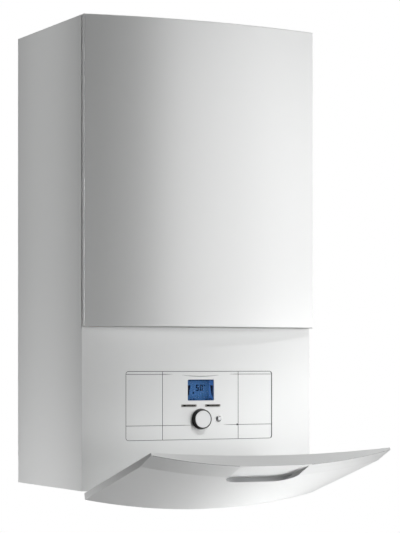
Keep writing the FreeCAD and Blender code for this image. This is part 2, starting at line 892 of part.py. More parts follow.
def hood_solid(inset):
    half, front_y, rear_y = firebox_half - inset, firebox_front_y + inset, firebox_back_y - inset
    low = [V(-half, front_y, hood_z), V(half, front_y, hood_z), V(half, rear_y, hood_z),
           V(-half, rear_y, hood_z)]
    top, high_z = hood_top_radius - inset, fan_z - inset
    high = [V(-fan_offset - top, firebox_mid_y - top, high_z),
            V(-fan_offset + top, firebox_mid_y - top, high_z),
            V(-fan_offset + top, firebox_mid_y + top, high_z),
            V(-fan_offset - top, firebox_mid_y + top, high_z)]
    wires = [Part.makePolygon(points + points[:1]) for points in (low, high)]
    return Part.makeLoft(wires, True, True)


def flue_hood():
    inlet = rod(inlet_radius, 2 * overrun + sheet, V(-fan_offset, firebox_mid_y, fan_z - sheet - overrun),
                z_axis)
    return hood_solid(0).cut(hood_solid(sheet)).cut(inlet)


def fan_housing():
    eye = V(-fan_offset, firebox_mid_y, fan_z)
    duct_reach = flue_bore + 2 * flue_wall + collar_sheet
    rear_y = firebox_mid_y + fan_radius

    def scroll(inset):
        low, high = fan_z + inset, fan_top_z - inset
        drum = rod(fan_radius - inset, high - low, V(eye.x, eye.y, low), z_axis)
        duct = box(eye.x, duct_reach - inset, rear_y - duct_width + inset, rear_y - inset, low, high)
        return joined([drum, duct])

    inlet = rod(inlet_radius, sheet + 2 * overrun, eye - z_axis * overrun, z_axis)
    shaft_hole = rod(fan_shaft + run_gap, sheet + 2 * overrun, V(eye.x, eye.y, fan_top_z - sheet - overrun),
                     z_axis)
    outlet = rod(flue_bore + flue_wall / 2, sheet + 2 * overrun, V(0, flue_y, fan_top_z - sheet - overrun),
                 z_axis)
    return scroll(0).cut(scroll(sheet)).cut([inlet, shaft_hole, outlet])


def fan_impeller():
    base = V(-fan_offset, firebox_mid_y, fan_top_z - sheet - blade_margin)
    low_z = fan_z + sheet + blade_margin
    disc = rod(impeller_radius, blade_sheet, base, z_axis)
    shaft = rod(fan_shaft, blade_margin + sheet + motor_height / 2, base, z_axis)
    blades = []
    for k in range(blade_count):
        blade = box(impeller_radius - blade_depth + blade_sheet, impeller_radius - blade_sheet,
                    -blade_sheet / 2, blade_sheet / 2, low_z, base.z)
        blade.rotate(V(0, 0, 0), z_axis, k * 360 / blade_count)
        blade.translate(V(base.x, base.y, 0))
        blades.append(blade)
    rim = ring(impeller_radius, impeller_radius - blade_depth, blade_sheet, V(base.x, base.y, low_z),
               z_axis)
    return joined([disc, shaft, rim] + blades)


def fan_motor():
    base = V(-fan_offset, firebox_mid_y, fan_top_z)
    can = rod(motor_radius, motor_height, base + z_axis * motor_foot, z_axis)
    foot = rod(motor_radius + screw_head, motor_foot, base, z_axis)
    bore = rod(fan_shaft + run_gap, motor_height / 2 + motor_foot + overrun, base - z_axis * overrun,
               z_axis)
    return joined([can, foot]).cut(bore)


def flue_adaptor():
    pipe = ring(flue_bore + flue_wall, flue_bore, top_z + collar_rise - fan_top_z, V(0, flue_y, fan_top_z),
                z_axis)
    flange = ring(air_bore + collar_flange, flue_bore + flue_wall, collar_sheet, V(0, flue_y, top_z),
                  z_axis)
    slots = ring(air_bore - collar_flange / 2, flue_bore + 2 * flue_wall, collar_sheet + 2 * overrun,
                 V(0, flue_y, top_z - overrun), z_axis)
    spokes = [box(-air_bore, air_bore, flue_y - collar_sheet, flue_y + collar_sheet, top_z - 2 * overrun,
                  top_z + collar_sheet + 2 * overrun)]
    collar = ring(air_bore + flue_wall, air_bore, collar_rise, V(0, flue_y, top_z), z_axis)
    return joined([pipe, flange.cut(slots.cut(spokes)), collar])


# Water and gas side

def vessel_body(inset):
    half = half_width - vessel_margin - inset
    low, high = vessel_z + inset, top_z - vessel_top_gap - inset
    body = rounded(-half, half, frame_y - vessel_depth + inset, frame_y - inset, low, high,
                   2 * vessel_round - inset)
    rims = [e for e in body.Edges if e.BoundBox.YLength < fit_gap]
    return body.makeFillet(vessel_round - inset, rims)


def expansion_vessel():
    half = half_width - vessel_margin + vessel_crimp
    low, high = vessel_z - vessel_crimp, top_z - vessel_top_gap + vessel_crimp
    crimp_y = frame_y - vessel_depth / 2
    crimp = rounded(-half, half, crimp_y - frame_sheet, crimp_y + frame_sheet, low, high, 2 * vessel_round)
    return joined([vessel_body(0), crimp]).cut(vessel_body(frame_sheet))


def water_block(side):
    x0, x1 = side * block_inner, side * (block_inner + block_width)
    body = box(x0, x1, block_front_y, block_front_y + block_depth, block_z, block_top_z)
    foot_x = side * (block_inner + foot_offset)
    foot = box(foot_x - foot_width / 2, foot_x + foot_width / 2, block_front_y, frame_y, block_z,
               block_top_z)
    return joined([body, foot])


def connection_pipe(x, radius, top_level):
    low = tray_z - pipe_drop
    pipe = ring(radius, radius - pipe_wall, top_level - low, V(x, pipe_y, low), z_axis)
    nut = hexagon(radius + nut_margin, nut_height, V(x, pipe_y, top_level - nut_height))
    nut = nut.cut(rod(radius - pipe_wall, 2 * nut_height, V(x, pipe_y, top_level - 3 * nut_height / 2),
                      z_axis))
    bead = ring(radius + bead_margin, radius - pipe_wall, bead_height,
                V(x, pipe_y, tray_z - bead_drop - bead_height),
                z_axis)
    return joined([pipe, nut, bead])


def pump_body():
    x, rear_y = pump_offset, pipe_y + pump_length / 2
    shell = rod(pump_radius, pump_length, V(x, rear_y, pump_z), -y_axis)
    neck = box(x - pump_neck / 2, x + pump_neck / 2, rear_y - pump_length + pump_wall, rear_y - pump_wall,
               block_top_z, pump_z)
    room = rod(pump_radius - pump_wall, pump_length - 2 * pump_wall, V(x, rear_y - pump_wall, pump_z),
               -y_axis)
    shaft_hole = rod(rotor_shaft + run_gap, pump_wall + 2 * overrun,
                     V(x, rear_y - pump_length + pump_wall + overrun, pump_z), -y_axis)
    return joined([shell, neck]).cut(room).cut(shaft_hole)


def pump_motor():
    front_y = pipe_y - pump_length / 2
    can = rod(pump_motor_radius, pump_motor_length, V(pump_offset, front_y, pump_z), -y_axis)
    bore = rod(rotor_shaft + run_gap, pump_motor_length / 2 + overrun,
               V(pump_offset, front_y + overrun, pump_z),
               -y_axis)
    return can.cut(bore)


def pump_impeller():
    x, front_y = pump_offset, pipe_y - pump_length / 2
    disc_y = front_y + pump_wall + rotor_height / 2
    disc = rod(rotor_radius, rotor_height / 4, V(x, disc_y, pump_z), y_axis)
    shaft = rod(rotor_shaft, disc_y - front_y + pump_motor_length / 2 - overrun, V(x, disc_y, pump_z),
                -y_axis)
    blades = []
    for k in range(rotor_blades):
        blade = box(rotor_shaft, rotor_radius - blade_sheet, disc_y, disc_y + rotor_height, -blade_sheet,
                    blade_sheet)
        blade.rotate(V(0, 0, 0), y_axis, k * 360 / rotor_blades)
        blade.translate(V(x, 0, pump_z))
        blades.append(blade)
    return joined([disc, shaft] + blades)


def plate_exchanger():
    plates = []
    for k in range(plate_count):
        y = block_front_y - k * plate_step
        plates.append(rounded(plate_x0, plate_x1, y - plate_sheet, y, block_z, block_z + plate_height,
                              plate_sheet * 4))
    length = plate_count * plate_step - plate_step + plate_sheet
    inset = 2 * water_radius
    corners = [rod(water_radius, length, V(x, block_front_y, z), -y_axis)
               for x in (plate_x0 + inset, plate_x1 - inset)
               for z in (block_z + inset, block_z + plate_height - inset)]
    return joined(plates + corners)


def gas_valve():
    front_y = block_front_y + fit_gap
    body = box(-valve_half, valve_half, front_y, pipe_y + valve_rear, valve_z, valve_z + valve_height)
    port = rod(water_radius - pipe_wall, valve_height + 2 * overrun, V(0, pipe_y, valve_z - overrun),
               z_axis)
    coils = [rod(coil_radius, coil_height, V(x, front_y, valve_z + valve_height - coil_drop), -y_axis)
             for x in (-valve_half + coil_radius, valve_half - coil_radius)]
    return joined([body.cut(port)] + coils)


def gas_supply_pipe():
    start = V(0, pipe_y, valve_z + valve_height)
    points = [start, V(0, pipe_y, riser_z), V(0, manifold_y, riser_z),
              V(0, manifold_y, manifold_z - manifold_size / 2)]
    return bent_tube(points, pipe_bend, supply_radius, pipe_wall)


def riser(side):
    x, end_x = side * riser_offset, side * header_x()
    top = fins_z + fin_height / 2 - tube_radius
    points = [V(x, pipe_y, block_top_z), V(x, pipe_y, riser_z), V(end_x, firebox_mid_y, riser_z),
              V(end_x, firebox_mid_y, top)]
    return bent_tube(points, pipe_bend, riser_radius, pipe_wall)


def safety_valve():
    base = V(-relief_offset, block_front_y, block_z + block_height / 2)
    body = rod(relief_radius, relief_length, base, -y_axis)
    stem = rod(relief_stem, relief_knob_length / 2, base - y_axis * relief_length, -y_axis)
    return joined([body, stem])


def safety_valve_knob():
    base = V(-relief_offset, block_front_y - relief_length - fit_gap, block_z + block_height / 2)
    knob = rod(relief_knob_radius, relief_knob_length, base, -y_axis)
    flutes = []
    for k in range(8):
        angle = k * math.pi / 4
        place = base + V(math.cos(angle), 0, math.sin(angle)) * relief_knob_radius + y_axis * overrun
        flutes.append(rod(relief_stem / 2, relief_knob_length + 2 * overrun, place, -y_axis))
    bore = rod(relief_stem + run_gap, relief_knob_length / 2 + overrun, base + y_axis * overrun, -y_axis)
    return knob.cut(flutes).cut(bore)


parts = {
    "wall_bracket": wall_bracket(),
    "rear_frame": screw_holes(rear_frame()),
    "left_side_panel": screw_holes(side_panel()),
    "right_side_panel": screw_holes(mirrored(side_panel())),
    "top_panel": top_panel(),
    "bottom_tray": bottom_tray(),
    "front_panel": front_panel(),
    "front_seal": front_seal(),
    "control_fascia": control_fascia(),
    "casing_screws": casing_screws(),
    "cable_gland": cable_gland(),
    "control_box": control_box(),
    "centre_insert": centre_insert(),
    "left_bay_cover": bay_cover(),
    "right_bay_cover": mirrored(bay_cover()),
    "display_window": display_window(),
    "display_module": display_module(),
    "display_board": display_board(),
    "main_board": main_board(),
    "selector_knob": selector_knob(),
    "knob_cap": knob_cap(),
    "reset_button": reset_button(),
    "left_soft_key": soft_key(-key_offset),
    "right_soft_key": soft_key(key_offset),
    "front_flap": front_flap(),
    "flap_hinge_arms": flap_hinge_arms(),
    "flap_hinge_brackets": flap_hinge_brackets(),
    "flap_hinge_pins": flap_hinge_pins(),
    "chamber_shell": chamber_shell(),
    "chamber_cover": chamber_cover(),
    "burner_frame": burner_frame(),
    "burner_bars": burner_bars(),
    "burner_manifold": burner_manifold(),
    "combustion_box": combustion_box(),
    "insulation_boards": insulation_boards(),
    "exchanger_fins": exchanger_fins(),
    "exchanger_tubes": exchanger_tubes(),
    "flue_hood": flue_hood(),
    "fan_housing": fan_housing(),
    "fan_impeller": fan_impeller(),
    "fan_motor": fan_motor(),
    "flue_adaptor": flue_adaptor(),
    "expansion_vessel": expansion_vessel(),
    "left_water_block": water_block(-1),
    "right_water_block": water_block(1),
    "pump_body": pump_body(),
    "pump_motor": pump_motor(),
    "pump_impeller": pump_impeller(),
    "plate_exchanger": plate_exchanger(),
    "gas_valve": gas_valve(),
    "gas_supply_pipe": gas_supply_pipe(),
    "flow_riser": riser(-1),
    "return_riser": riser(1),
    "safety_valve": safety_valve(),
    "safety_valve_knob": safety_valve_knob(),
}
for name, x, radius in pipe_rows():
    top_level = valve_z if name == "gas_inlet_pipe" else block_z
    parts[name] = connection_pipe(x, radius, top_level)

os.makedirs("parts", exist_ok=True)
for name, shape in parts.items():
    shape.exportStep("parts/" + name + ".step")
    print(name, len(shape.Solids), round(shape.Volume), shape.isValid())
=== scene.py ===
import bpy
import bmesh
import json
import math
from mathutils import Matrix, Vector


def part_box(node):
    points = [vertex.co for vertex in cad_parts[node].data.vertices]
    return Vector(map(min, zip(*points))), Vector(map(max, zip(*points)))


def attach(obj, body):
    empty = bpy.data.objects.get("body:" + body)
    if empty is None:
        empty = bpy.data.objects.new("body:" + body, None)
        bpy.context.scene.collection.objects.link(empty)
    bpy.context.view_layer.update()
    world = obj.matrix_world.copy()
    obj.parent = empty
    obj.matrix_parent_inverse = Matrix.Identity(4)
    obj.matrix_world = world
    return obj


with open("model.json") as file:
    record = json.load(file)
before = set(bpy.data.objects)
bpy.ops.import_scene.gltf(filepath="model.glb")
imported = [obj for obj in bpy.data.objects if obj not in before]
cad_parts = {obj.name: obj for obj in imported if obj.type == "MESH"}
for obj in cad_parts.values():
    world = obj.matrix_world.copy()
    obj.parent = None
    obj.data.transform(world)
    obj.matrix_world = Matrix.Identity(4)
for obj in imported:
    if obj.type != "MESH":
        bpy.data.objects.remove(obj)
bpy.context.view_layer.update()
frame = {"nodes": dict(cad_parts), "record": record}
nodes = frame["nodes"]
scene = bpy.context.scene
mm = 0.001
print("stage: frame loaded,", len(nodes), "nodes")


# node helpers

mixFirst, mixSecond, mixColor = 6, 7, 2  # colour sockets of a Mix node
noiseMean = 0.5  # what a noise texture averages


def addNode(tree, kind, x, y, **values):
    node = tree.nodes.new(kind)
    node.location = (x, y)
    for key, value in values.items():
        setattr(node, key, value)
    return node


def setInputs(node, values):
    for socket, value in values.items():
        node.inputs[socket].default_value = value


def newGroup(name, inputs, outputs):
    group = bpy.data.node_groups.new(name, "ShaderNodeTree")
    for label, kind, default in inputs:
        socket = group.interface.new_socket(name=label, in_out="INPUT", socket_type=kind)
        socket.default_value = default
    for label, kind in outputs:
        group.interface.new_socket(name=label, in_out="OUTPUT", socket_type=kind)
    entry = addNode(group, "NodeGroupInput", -900, 0)
    leave = addNode(group, "NodeGroupOutput", 700, 0)
    return group, entry, leave


grainNoise = dict(fineDetail=3.0, slowScale=7.0, slowDetail=5.0)


def makeGrainGroup():
    # fine sprayed or moulded texture: a height for bump, and a slow patchy roughness
    group, entry, leave = newGroup("surfaceGrain",
                                   [("Scale", "NodeSocketFloat", 900.0), ("Rough", "NodeSocketFloat", 0.4),
                                    ("Patch", "NodeSocketFloat", 0.06)],
                                   [("Height", "NodeSocketFloat"), ("Roughness", "NodeSocketFloat")])
    link = group.links.new
    coord = addNode(group, "ShaderNodeTexCoord", -900, 300)
    fine = addNode(group, "ShaderNodeTexNoise", -500, 300)
    setInputs(fine, {"Detail": grainNoise["fineDetail"]})
    link(coord.outputs["Object"], fine.inputs["Vector"])
    link(entry.outputs["Scale"], fine.inputs["Scale"])
    slow = addNode(group, "ShaderNodeTexNoise", -500, 0)
    setInputs(slow, {"Scale": grainNoise["slowScale"], "Detail": grainNoise["slowDetail"]})
    link(coord.outputs["Object"], slow.inputs["Vector"])
    centred = addNode(group, "ShaderNodeMath", -250, 0, operation="SUBTRACT")
    setInputs(centred, {1: noiseMean})
    link(slow.outputs["Fac"], centred.inputs[0])
    spread = addNode(group, "ShaderNodeMath", 0, 0, operation="MULTIPLY")
    link(centred.outputs[0], spread.inputs[0])
    link(entry.outputs["Patch"], spread.inputs[1])
    total = addNode(group, "ShaderNodeMath", 250, 0, operation="ADD")
    link(spread.outputs[0], total.inputs[0])
    link(entry.outputs["Rough"], total.inputs[1])
    link(fine.outputs["Fac"], leave.inputs["Height"])
    link(total.outputs[0], leave.inputs["Roughness"])
    return group


dustCloud = dict(facing=0.55, scale=24.0, detail=6.0)


def makeDustGroup():
    # a thin film that gathers on faces that look up, broken by noise
    group, entry, leave = newGroup("restingDust",
                                   [("Base", "NodeSocketColor", (0.8, 0.8, 0.8, 1)),
                                    ("Film", "NodeSocketColor", (0.6, 0.58, 0.54, 1)),
                                    ("Amount", "NodeSocketFloat", 0.15), ("Tone", "NodeSocketFloat", 0.02)],
                                   [("Color", "NodeSocketColor")])
    link = group.links.new
    coord = addNode(group, "ShaderNodeTexCoord", -900, 400)
    facing = addNode(group, "ShaderNodeNewGeometry", -900, 200)
    up = addNode(group, "ShaderNodeSeparateXYZ", -700, 200)
    link(facing.outputs["Normal"], up.inputs[0])
    ramp = addNode(group, "ShaderNodeMapRange", -500, 200)
    setInputs(ramp, {"From Min": dustCloud["facing"]})
    link(up.outputs["Z"], ramp.inputs["Value"])
    cloud = addNode(group, "ShaderNodeTexNoise", -500, 450)
    setInputs(cloud, {"Scale": dustCloud["scale"], "Detail": dustCloud["detail"]})
    link(coord.outputs["Object"], cloud.inputs["Vector"])
    broken = addNode(group, "ShaderNodeMath", -250, 300, operation="MULTIPLY")
    link(ramp.outputs[0], broken.inputs[0])
    link(cloud.outputs["Fac"], broken.inputs[1])
    share = addNode(group, "ShaderNodeMath", 0, 300, operation="MULTIPLY")
    link(broken.outputs[0], share.inputs[0])
    link(entry.outputs["Amount"], share.inputs[1])
    film = addNode(group, "ShaderNodeMix", 200, 200, data_type="RGBA")
    link(share.outputs[0], film.inputs[0])
    link(entry.outputs["Base"], film.inputs[mixFirst])
    link(entry.outputs["Film"], film.inputs[mixSecond])
    # the same noise lightens and darkens the colour a little
    offset = addNode(group, "ShaderNodeMath", 0, -150, operation="SUBTRACT")
    setInputs(offset, {1: noiseMean})
    link(cloud.outputs["Fac"], offset.inputs[0])
    shade = addNode(group, "ShaderNodeMath", 200, -150, operation="MULTIPLY_ADD")
    setInputs(shade, {2: 1.0})
    link(offset.outputs[0], shade.inputs[0])
    link(entry.outputs["Tone"], shade.inputs[1])
    tone = addNode(group, "ShaderNodeHueSaturation", 450, 100)
    link(shade.outputs[0], tone.inputs["Value"])
    link(film.outputs[mixColor], tone.inputs["Color"])
    link(tone.outputs["Color"], leave.inputs["Color"])
    return group


grainGroup = makeGrainGroup()
dustGroup = makeDustGroup()


def startMaterial(name):
    material = bpy.data.materials.new(name)
    material.use_nodes = True
    tree = material.node_tree
    shader = next(n for n in tree.nodes if n.type == "BSDF_PRINCIPLED")
    return material, tree, shader


def addGrain(tree, shader, look):
    grain = addNode(tree, "ShaderNodeGroup", -600, -200, node_tree=grainGroup)
    setInputs(grain, {"Scale": look["grain"], "Rough": look["rough"], "Patch": look["patch"]})
    tree.links.new(grain.outputs["Roughness"], shader.inputs["Roughness"])
    return grain


def addBump(tree, shader, grain, look):
    bump = addNode(tree, "ShaderNodeBump", -300, -300)
    setInputs(bump, {"Strength": look["bump"], "Distance": look["deep"]})
    tree.links.new(grain.outputs["Height"], bump.inputs["Height"])
    tree.links.new(bump.outputs["Normal"], shader.inputs["Normal"])


# what a finish has unless its own look says otherwise
plainLook = dict(patch=0.06, deep=0.2 * mm, dust=0.1, tone=0.03, metal=0.0, coat=0.0, coatRough=0.2, coatIor=1.5,
                 gloss=0.5)


def makeFinish(name, values):
    look = {**plainLook, **values}
    material, tree, shader = startMaterial(name)
    grain = addGrain(tree, shader, look)
    addBump(tree, shader, grain, look)
    dust = addNode(tree, "ShaderNodeGroup", -600, 200, node_tree=dustGroup)
    setInputs(dust, {"Base": (*look["color"], 1), "Amount": look["dust"], "Tone": look["tone"]})
    tree.links.new(dust.outputs["Color"], shader.inputs["Base Color"])
    setInputs(shader, {"Metallic": look["metal"], "Coat Weight": look["coat"], "Coat Roughness": look["coatRough"],
                       "Coat IOR": look["coatIor"], "Specular IOR Level": look["gloss"]})
    return material


# one look for each of the record's slots
finishLooks = {
    "casing_white": dict(color=(0.80, 0.81, 0.805), rough=0.36, grain=700, bump=0.04, dust=0.12, tone=0.012,
                         coat=1.0, coatRough=0.3, coatIor=2.0),
    "fascia_white": dict(color=(0.80, 0.81, 0.805), rough=0.38, grain=1400, bump=0.05, dust=0.08, tone=0.012,
                         coat=1.0, coatRough=0.3, coatIor=1.7),
    "bright_steel": dict(color=(0.62, 0.63, 0.65), rough=0.22, grain=1600, bump=0.05, metal=1.0),
    "seal_rubber": dict(color=(0.012, 0.012, 0.013), rough=0.85, grain=2200, bump=0.5, tone=0.2),
    "control_grey": dict(color=(0.06, 0.06, 0.065), rough=0.6, grain=1500, bump=0.15),
    "knob_black": dict(color=(0.006, 0.006, 0.006), rough=0.34, grain=1800, bump=0.05, gloss=0.3),
    "key_grey": dict(color=(0.23, 0.22, 0.205), rough=0.5, grain=1800, bump=0.05, gloss=0.2),
    "knob_white": dict(color=(0.86, 0.865, 0.87), rough=0.30, grain=1500, bump=0.04, coat=0.2),
    "button_metal": dict(color=(0.30, 0.305, 0.31), rough=0.3, grain=1800, bump=0.04, metal=1.0),
    "board_green": dict(color=(0.012, 0.085, 0.03), rough=0.45, grain=1200, bump=0.2, tone=0.3),
    "stainless_steel": dict(color=(0.42, 0.42, 0.42), rough=0.3, grain=900, bump=0.1, metal=1.0),
    "insulation_fibre": dict(color=(0.66, 0.63, 0.55), rough=0.95, grain=500, bump=0.8, tone=0.15),
    "copper": dict(color=(0.62, 0.26, 0.14), rough=0.28, grain=500, bump=0.06, metal=1.0, patch=0.2, tone=0.25),
    "brass_cast": dict(color=(0.60, 0.42, 0.15), rough=0.35, grain=700, bump=0.2, metal=1.0, tone=0.15),
    "aluminium_cast": dict(color=(0.55, 0.56, 0.57), rough=0.42, grain=1000, bump=0.25, metal=1.0, patch=0.15),
    "motor_black": dict(color=(0.015, 0.015, 0.016), rough=0.45, grain=900, bump=0.2),
    "vessel_red": dict(color=(0.30, 0.012, 0.01), rough=0.4, grain=800, bump=0.15),
    "pump_iron": dict(color=(0.05, 0.052, 0.055), rough=0.6, grain=600, bump=0.5),
    "rotor_plastic": dict(color=(0.04, 0.04, 0.04), rough=0.5, grain=1200, bump=0.1),
    "relief_red": dict(color=(0.40, 0.012, 0.01), rough=0.3, grain=1200, bump=0.05),
}

zincLook = dict(dark=(0.43, 0.44, 0.455), pale=(0.56, 0.575, 0.59), spangle=130.0, rough=0.38, grain=600.0,
                patch=0.3, bump=0.08, deep=0.2 * mm, metal=1.0)


def makeZinc():
    # hot-dip zinc: flat crystals of slightly different grey
    material, tree, shader = startMaterial("galvanised_steel")
    link = tree.links.new
    coord = addNode(tree, "ShaderNodeTexCoord", -1000, 0)
    crystal = addNode(tree, "ShaderNodeTexVoronoi", -800, 0)
    setInputs(crystal, {"Scale": zincLook["spangle"]})
    link(coord.outputs["Object"], crystal.inputs["Vector"])
    single = addNode(tree, "ShaderNodeSeparateColor", -600, 0)
    link(crystal.outputs["Color"], single.inputs[0])
    tint = addNode(tree, "ShaderNodeMix", -350, 100, data_type="RGBA")
    setInputs(tint, {mixFirst: (*zincLook["dark"], 1), mixSecond: (*zincLook["pale"], 1)})
    link(single.outputs[0], tint.inputs[0])
    link(tint.outputs[mixColor], shader.inputs["Base Color"])
    grain = addGrain(tree, shader, zincLook)
    addBump(tree, shader, grain, zincLook)
    setInputs(shader, {"Metallic": zincLook["metal"]})
    return material


lcdLook = dict(edge=(0.020, 0.062, 0.17), middle=(0.062, 0.165, 0.40), fadeFrom=0.55, fadeTo=1.45, glow=1.2,
               rough=0.6, gloss=0.05)


def makeLcd():
    # blue backlight, a little darker towards the edges of the screen
    material, tree, shader = startMaterial("display_blue")
    link = tree.links.new
    low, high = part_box("display_module")
    centre, size = (low + high) / 2, high - low
    coord = addNode(tree, "ShaderNodeTexCoord", -1100, 0)
    place = addNode(tree, "ShaderNodeMapping", -900, 0)
    setInputs(place, {"Location": (-2 * centre.x / size.x, 0, -2 * centre.z / size.z),
                      "Scale": (2 / size.x, 0, 2 / size.z)})
    link(coord.outputs["Object"], place.inputs["Vector"])
    away = addNode(tree, "ShaderNodeVectorMath", -700, 0, operation="LENGTH")
    link(place.outputs["Vector"], away.inputs[0])
    fade = addNode(tree, "ShaderNodeMapRange", -500, 0)
    setInputs(fade, {"From Min": lcdLook["fadeFrom"], "From Max": lcdLook["fadeTo"]})
    link(away.outputs["Value"], fade.inputs["Value"])
    tint = addNode(tree, "ShaderNodeMix", -300, 0, data_type="RGBA")
    setInputs(tint, {mixFirst: (*lcdLook["middle"], 1), mixSecond: (*lcdLook["edge"], 1)})
    link(fade.outputs[0], tint.inputs[0])
    link(tint.outputs[mixColor], shader.inputs["Base Color"])
    link(tint.outputs[mixColor], shader.inputs["Emission Color"])
    setInputs(shader, {"Emission Strength": lcdLook["glow"], "Roughness": lcdLook["rough"],
                       "Specular IOR Level": lcdLook["gloss"]})
    return material


glassLook = dict(color=(0.02, 0.03, 0.05), rough=0.07, clear=0.88, gloss=0.15, grain=60.0, patch=0.12)


def makeGlass():
    # tinted window, a little duller in patches where it is touched
    material, tree, shader = startMaterial("display_glass")
    addGrain(tree, shader, glassLook)
    setInputs(shader, {"Base Color": (*glassLook["color"], 1), "Alpha": 1 - glassLook["clear"],
                       "Specular IOR Level": glassLook["gloss"]})
    return material


finishes = {name: makeFinish(name, look) for name, look in finishLooks.items()}
finishes["galvanised_steel"] = makeZinc()
finishes["display_blue"] = makeLcd()
finishes["display_glass"] = makeGlass()
for row in frame["record"]["subparts"]:
    slots = nodes[row["node"]].data.materials
    slots.clear()
    slots.append(finishes[row["material_slot"]])


# mesh helpers

weld = 0.00001 * mm  # merges the points that fall on a turning axis


def addPiece(name, build, body, slot, finish=None):
    mesh = bpy.data.meshes.new(name)
    shape = bmesh.new()
    build(shape)
    bmesh.ops.recalc_face_normals(shape, faces=shape.faces)
    shape.to_mesh(mesh)
    shape.free()
    piece = bpy.data.objects.new(name, mesh)
    scene.collection.objects.link(piece)
    mesh.materials.append(finish or finishes[slot])
    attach(piece, body)


def addStrip(shape, rows):
    # closed bar through rows of corner points
    made = [[shape.verts.new(point) for point in row] for row in rows]
    count = len(made[0])
    for near, far in zip(made, made[1:]):
        for j in range(count):
            shape.faces.new((near[j], near[(j + 1) % count], far[(j + 1) % count], far[j]))
    shape.faces.new(made[0])
    shape.faces.new(made[-1][::-1])


def addPlate(shape, corners, face, thick):
    # flat plate of (x, z) corners that stands forward of a face
    addStrip(shape, [[(x, y, z) for x, z in corners] for y in (face - thick, face)])


def addBar(shape, x0, x1, z0, z1, face, thick):
    addPlate(shape, [(x0, z0), (x1, z0), (x1, z1), (x0, z1)], face, thick)


def addTurned(shape, outline, centre, axis, steps):
    # turns a closed (radius, height) outline round an axis
    axis = Vector(axis)
    side = axis.orthogonal().normalized()
    other = axis.cross(side)
    rings = []
    for k in range(steps):
        angle = 2 * math.pi * k / steps
        out = side * math.cos(angle) + other * math.sin(angle)
        rings.append([shape.verts.new(Vector(centre) + out * r + axis * h) for r, h in outline])
    count = len(outline)
    for k in range(steps):
        near, far = rings[k], rings[(k + 1) % steps]
        for j in range(count):
            shape.faces.new((near[j], near[(j + 1) % count], far[(j + 1) % count], far[j]))
    bmesh.ops.remove_doubles(shape, verts=shape.verts, dist=weld)


def sized(outline, r, h):
    return [(r * a, h * b) for a, b in outline]


def swell(tip, rise, away):
    # share of the full size at some way from a tapered end
    return min(1.0, tip + rise * away)


# fascia surface, a flat arc that every printed or inlaid line follows

fasciaArc = dict(edge=-303.2 * mm, bow=8.0 * mm, half=220.0 * mm)


def arcFace(x, half, edge, bow):
    radius = (half ** 2 + bow ** 2) / (2 * bow)
    return edge - bow + radius - math.sqrt(radius ** 2 - x ** 2)


def fasciaY(x):
    return arcFace(x, fasciaArc["half"], fasciaArc["edge"], fasciaArc["bow"])


def addRibbon(shape, path, widths, proud, thick):
    # a flat ribbon on the fascia along (x, z) points, its outer face standing proud of the surface
    rows = []
    for k, (x, z) in enumerate(path):
        before, after = path[max(k - 1, 0)], path[min(k + 1, len(path) - 1)]
        along = Vector((after[0] - before[0], after[1] - before[1])).normalized()
        across = Vector((-along.y, along.x)) * widths[k] / 2
        y = fasciaY(x) - proud
        rows.append([(x + s * across.x, y + d, z + s * across.y)
                     for s, d in ((-1, 0), (1, 0), (1, thick), (-1, thick))])
    addStrip(shape, rows)


def straight(x0, z0, x1, z1, steps=24):
    return [(x0 + (x1 - x0) * k / steps, z0 + (z1 - z0) * k / steps) for k in range(steps + 1)]


# dark shadow lines in the seams and grooves of the control panel

seamLines = dict(half=140.65 * mm, low=-656.35 * mm, high=-539.15 * mm, corner=4.6 * mm, cornerSteps=6,
                 step=8.0 * mm, split=73.0 * mm, width=0.95 * mm, heavyRight=1.9, lightLow=0.85,
                 rightBand=1.5 * mm, topBand=1.0 * mm, proud=0.04 * mm, thick=0.3 * mm)
grooveLines = dict(upper=-544.0 * mm, upperEnds=(-54.0 * mm, 56.0 * mm), lower=-631.6 * mm,
                   lowerEnds=(-17.0 * mm, 44.0 * mm), width=0.8 * mm, tip=0.25, rise=0.2)
seamLook = dict(color=(0.045, 0.047, 0.05), rough=0.7, grain=1500, bump=0.05)


def roundedLoop(half, low, high, corner):
    loop, steps = [], seamLines["cornerSteps"]
    for cx, cz, start in ((half - corner, high - corner, 0), (-half + corner, high - corner, 90),
                          (-half + corner, low + corner, 180), (half - corner, low + corner, 270)):
        for k in range(steps + 1):
            angle = math.radians(start + 90 * k / steps)
            loop.append((cx + corner * math.cos(angle), cz + corner * math.sin(angle)))
    loop.append(loop[0])
    fine = []
    for (x0, z0), (x1, z1) in zip(loop, loop[1:]):
        count = max(1, int(math.hypot(x1 - x0, z1 - z0) / seamLines["step"]))
        fine += straight(x0, z0, x1, z1, count)[:-1]
    return fine + [loop[-1]]


def seamWidth(x, z):
    # the shadow is widest down the right edge, and thin along the left and the foot
    if x > seamLines["half"] - seamLines["rightBand"]:
        return seamLines["width"] * seamLines["heavyRight"]
    if z > seamLines["high"] - seamLines["topBand"]:
        return seamLines["width"]
    return seamLines["width"] * seamLines["lightLow"]


def buildSeams(shape):
    low, high, proud, thick = (seamLines[key] for key in ("low", "high", "proud", "thick"))
    loop = roundedLoop(seamLines["half"], low, high, seamLines["corner"])
    addRibbon(shape, loop, [seamWidth(x, z) for x, z in loop], proud, thick)
    for x in (-seamLines["split"], seamLines["split"]):
        line = straight(x, low, x, high)
        addRibbon(shape, line, [seamLines["width"]] * len(line), proud, thick)


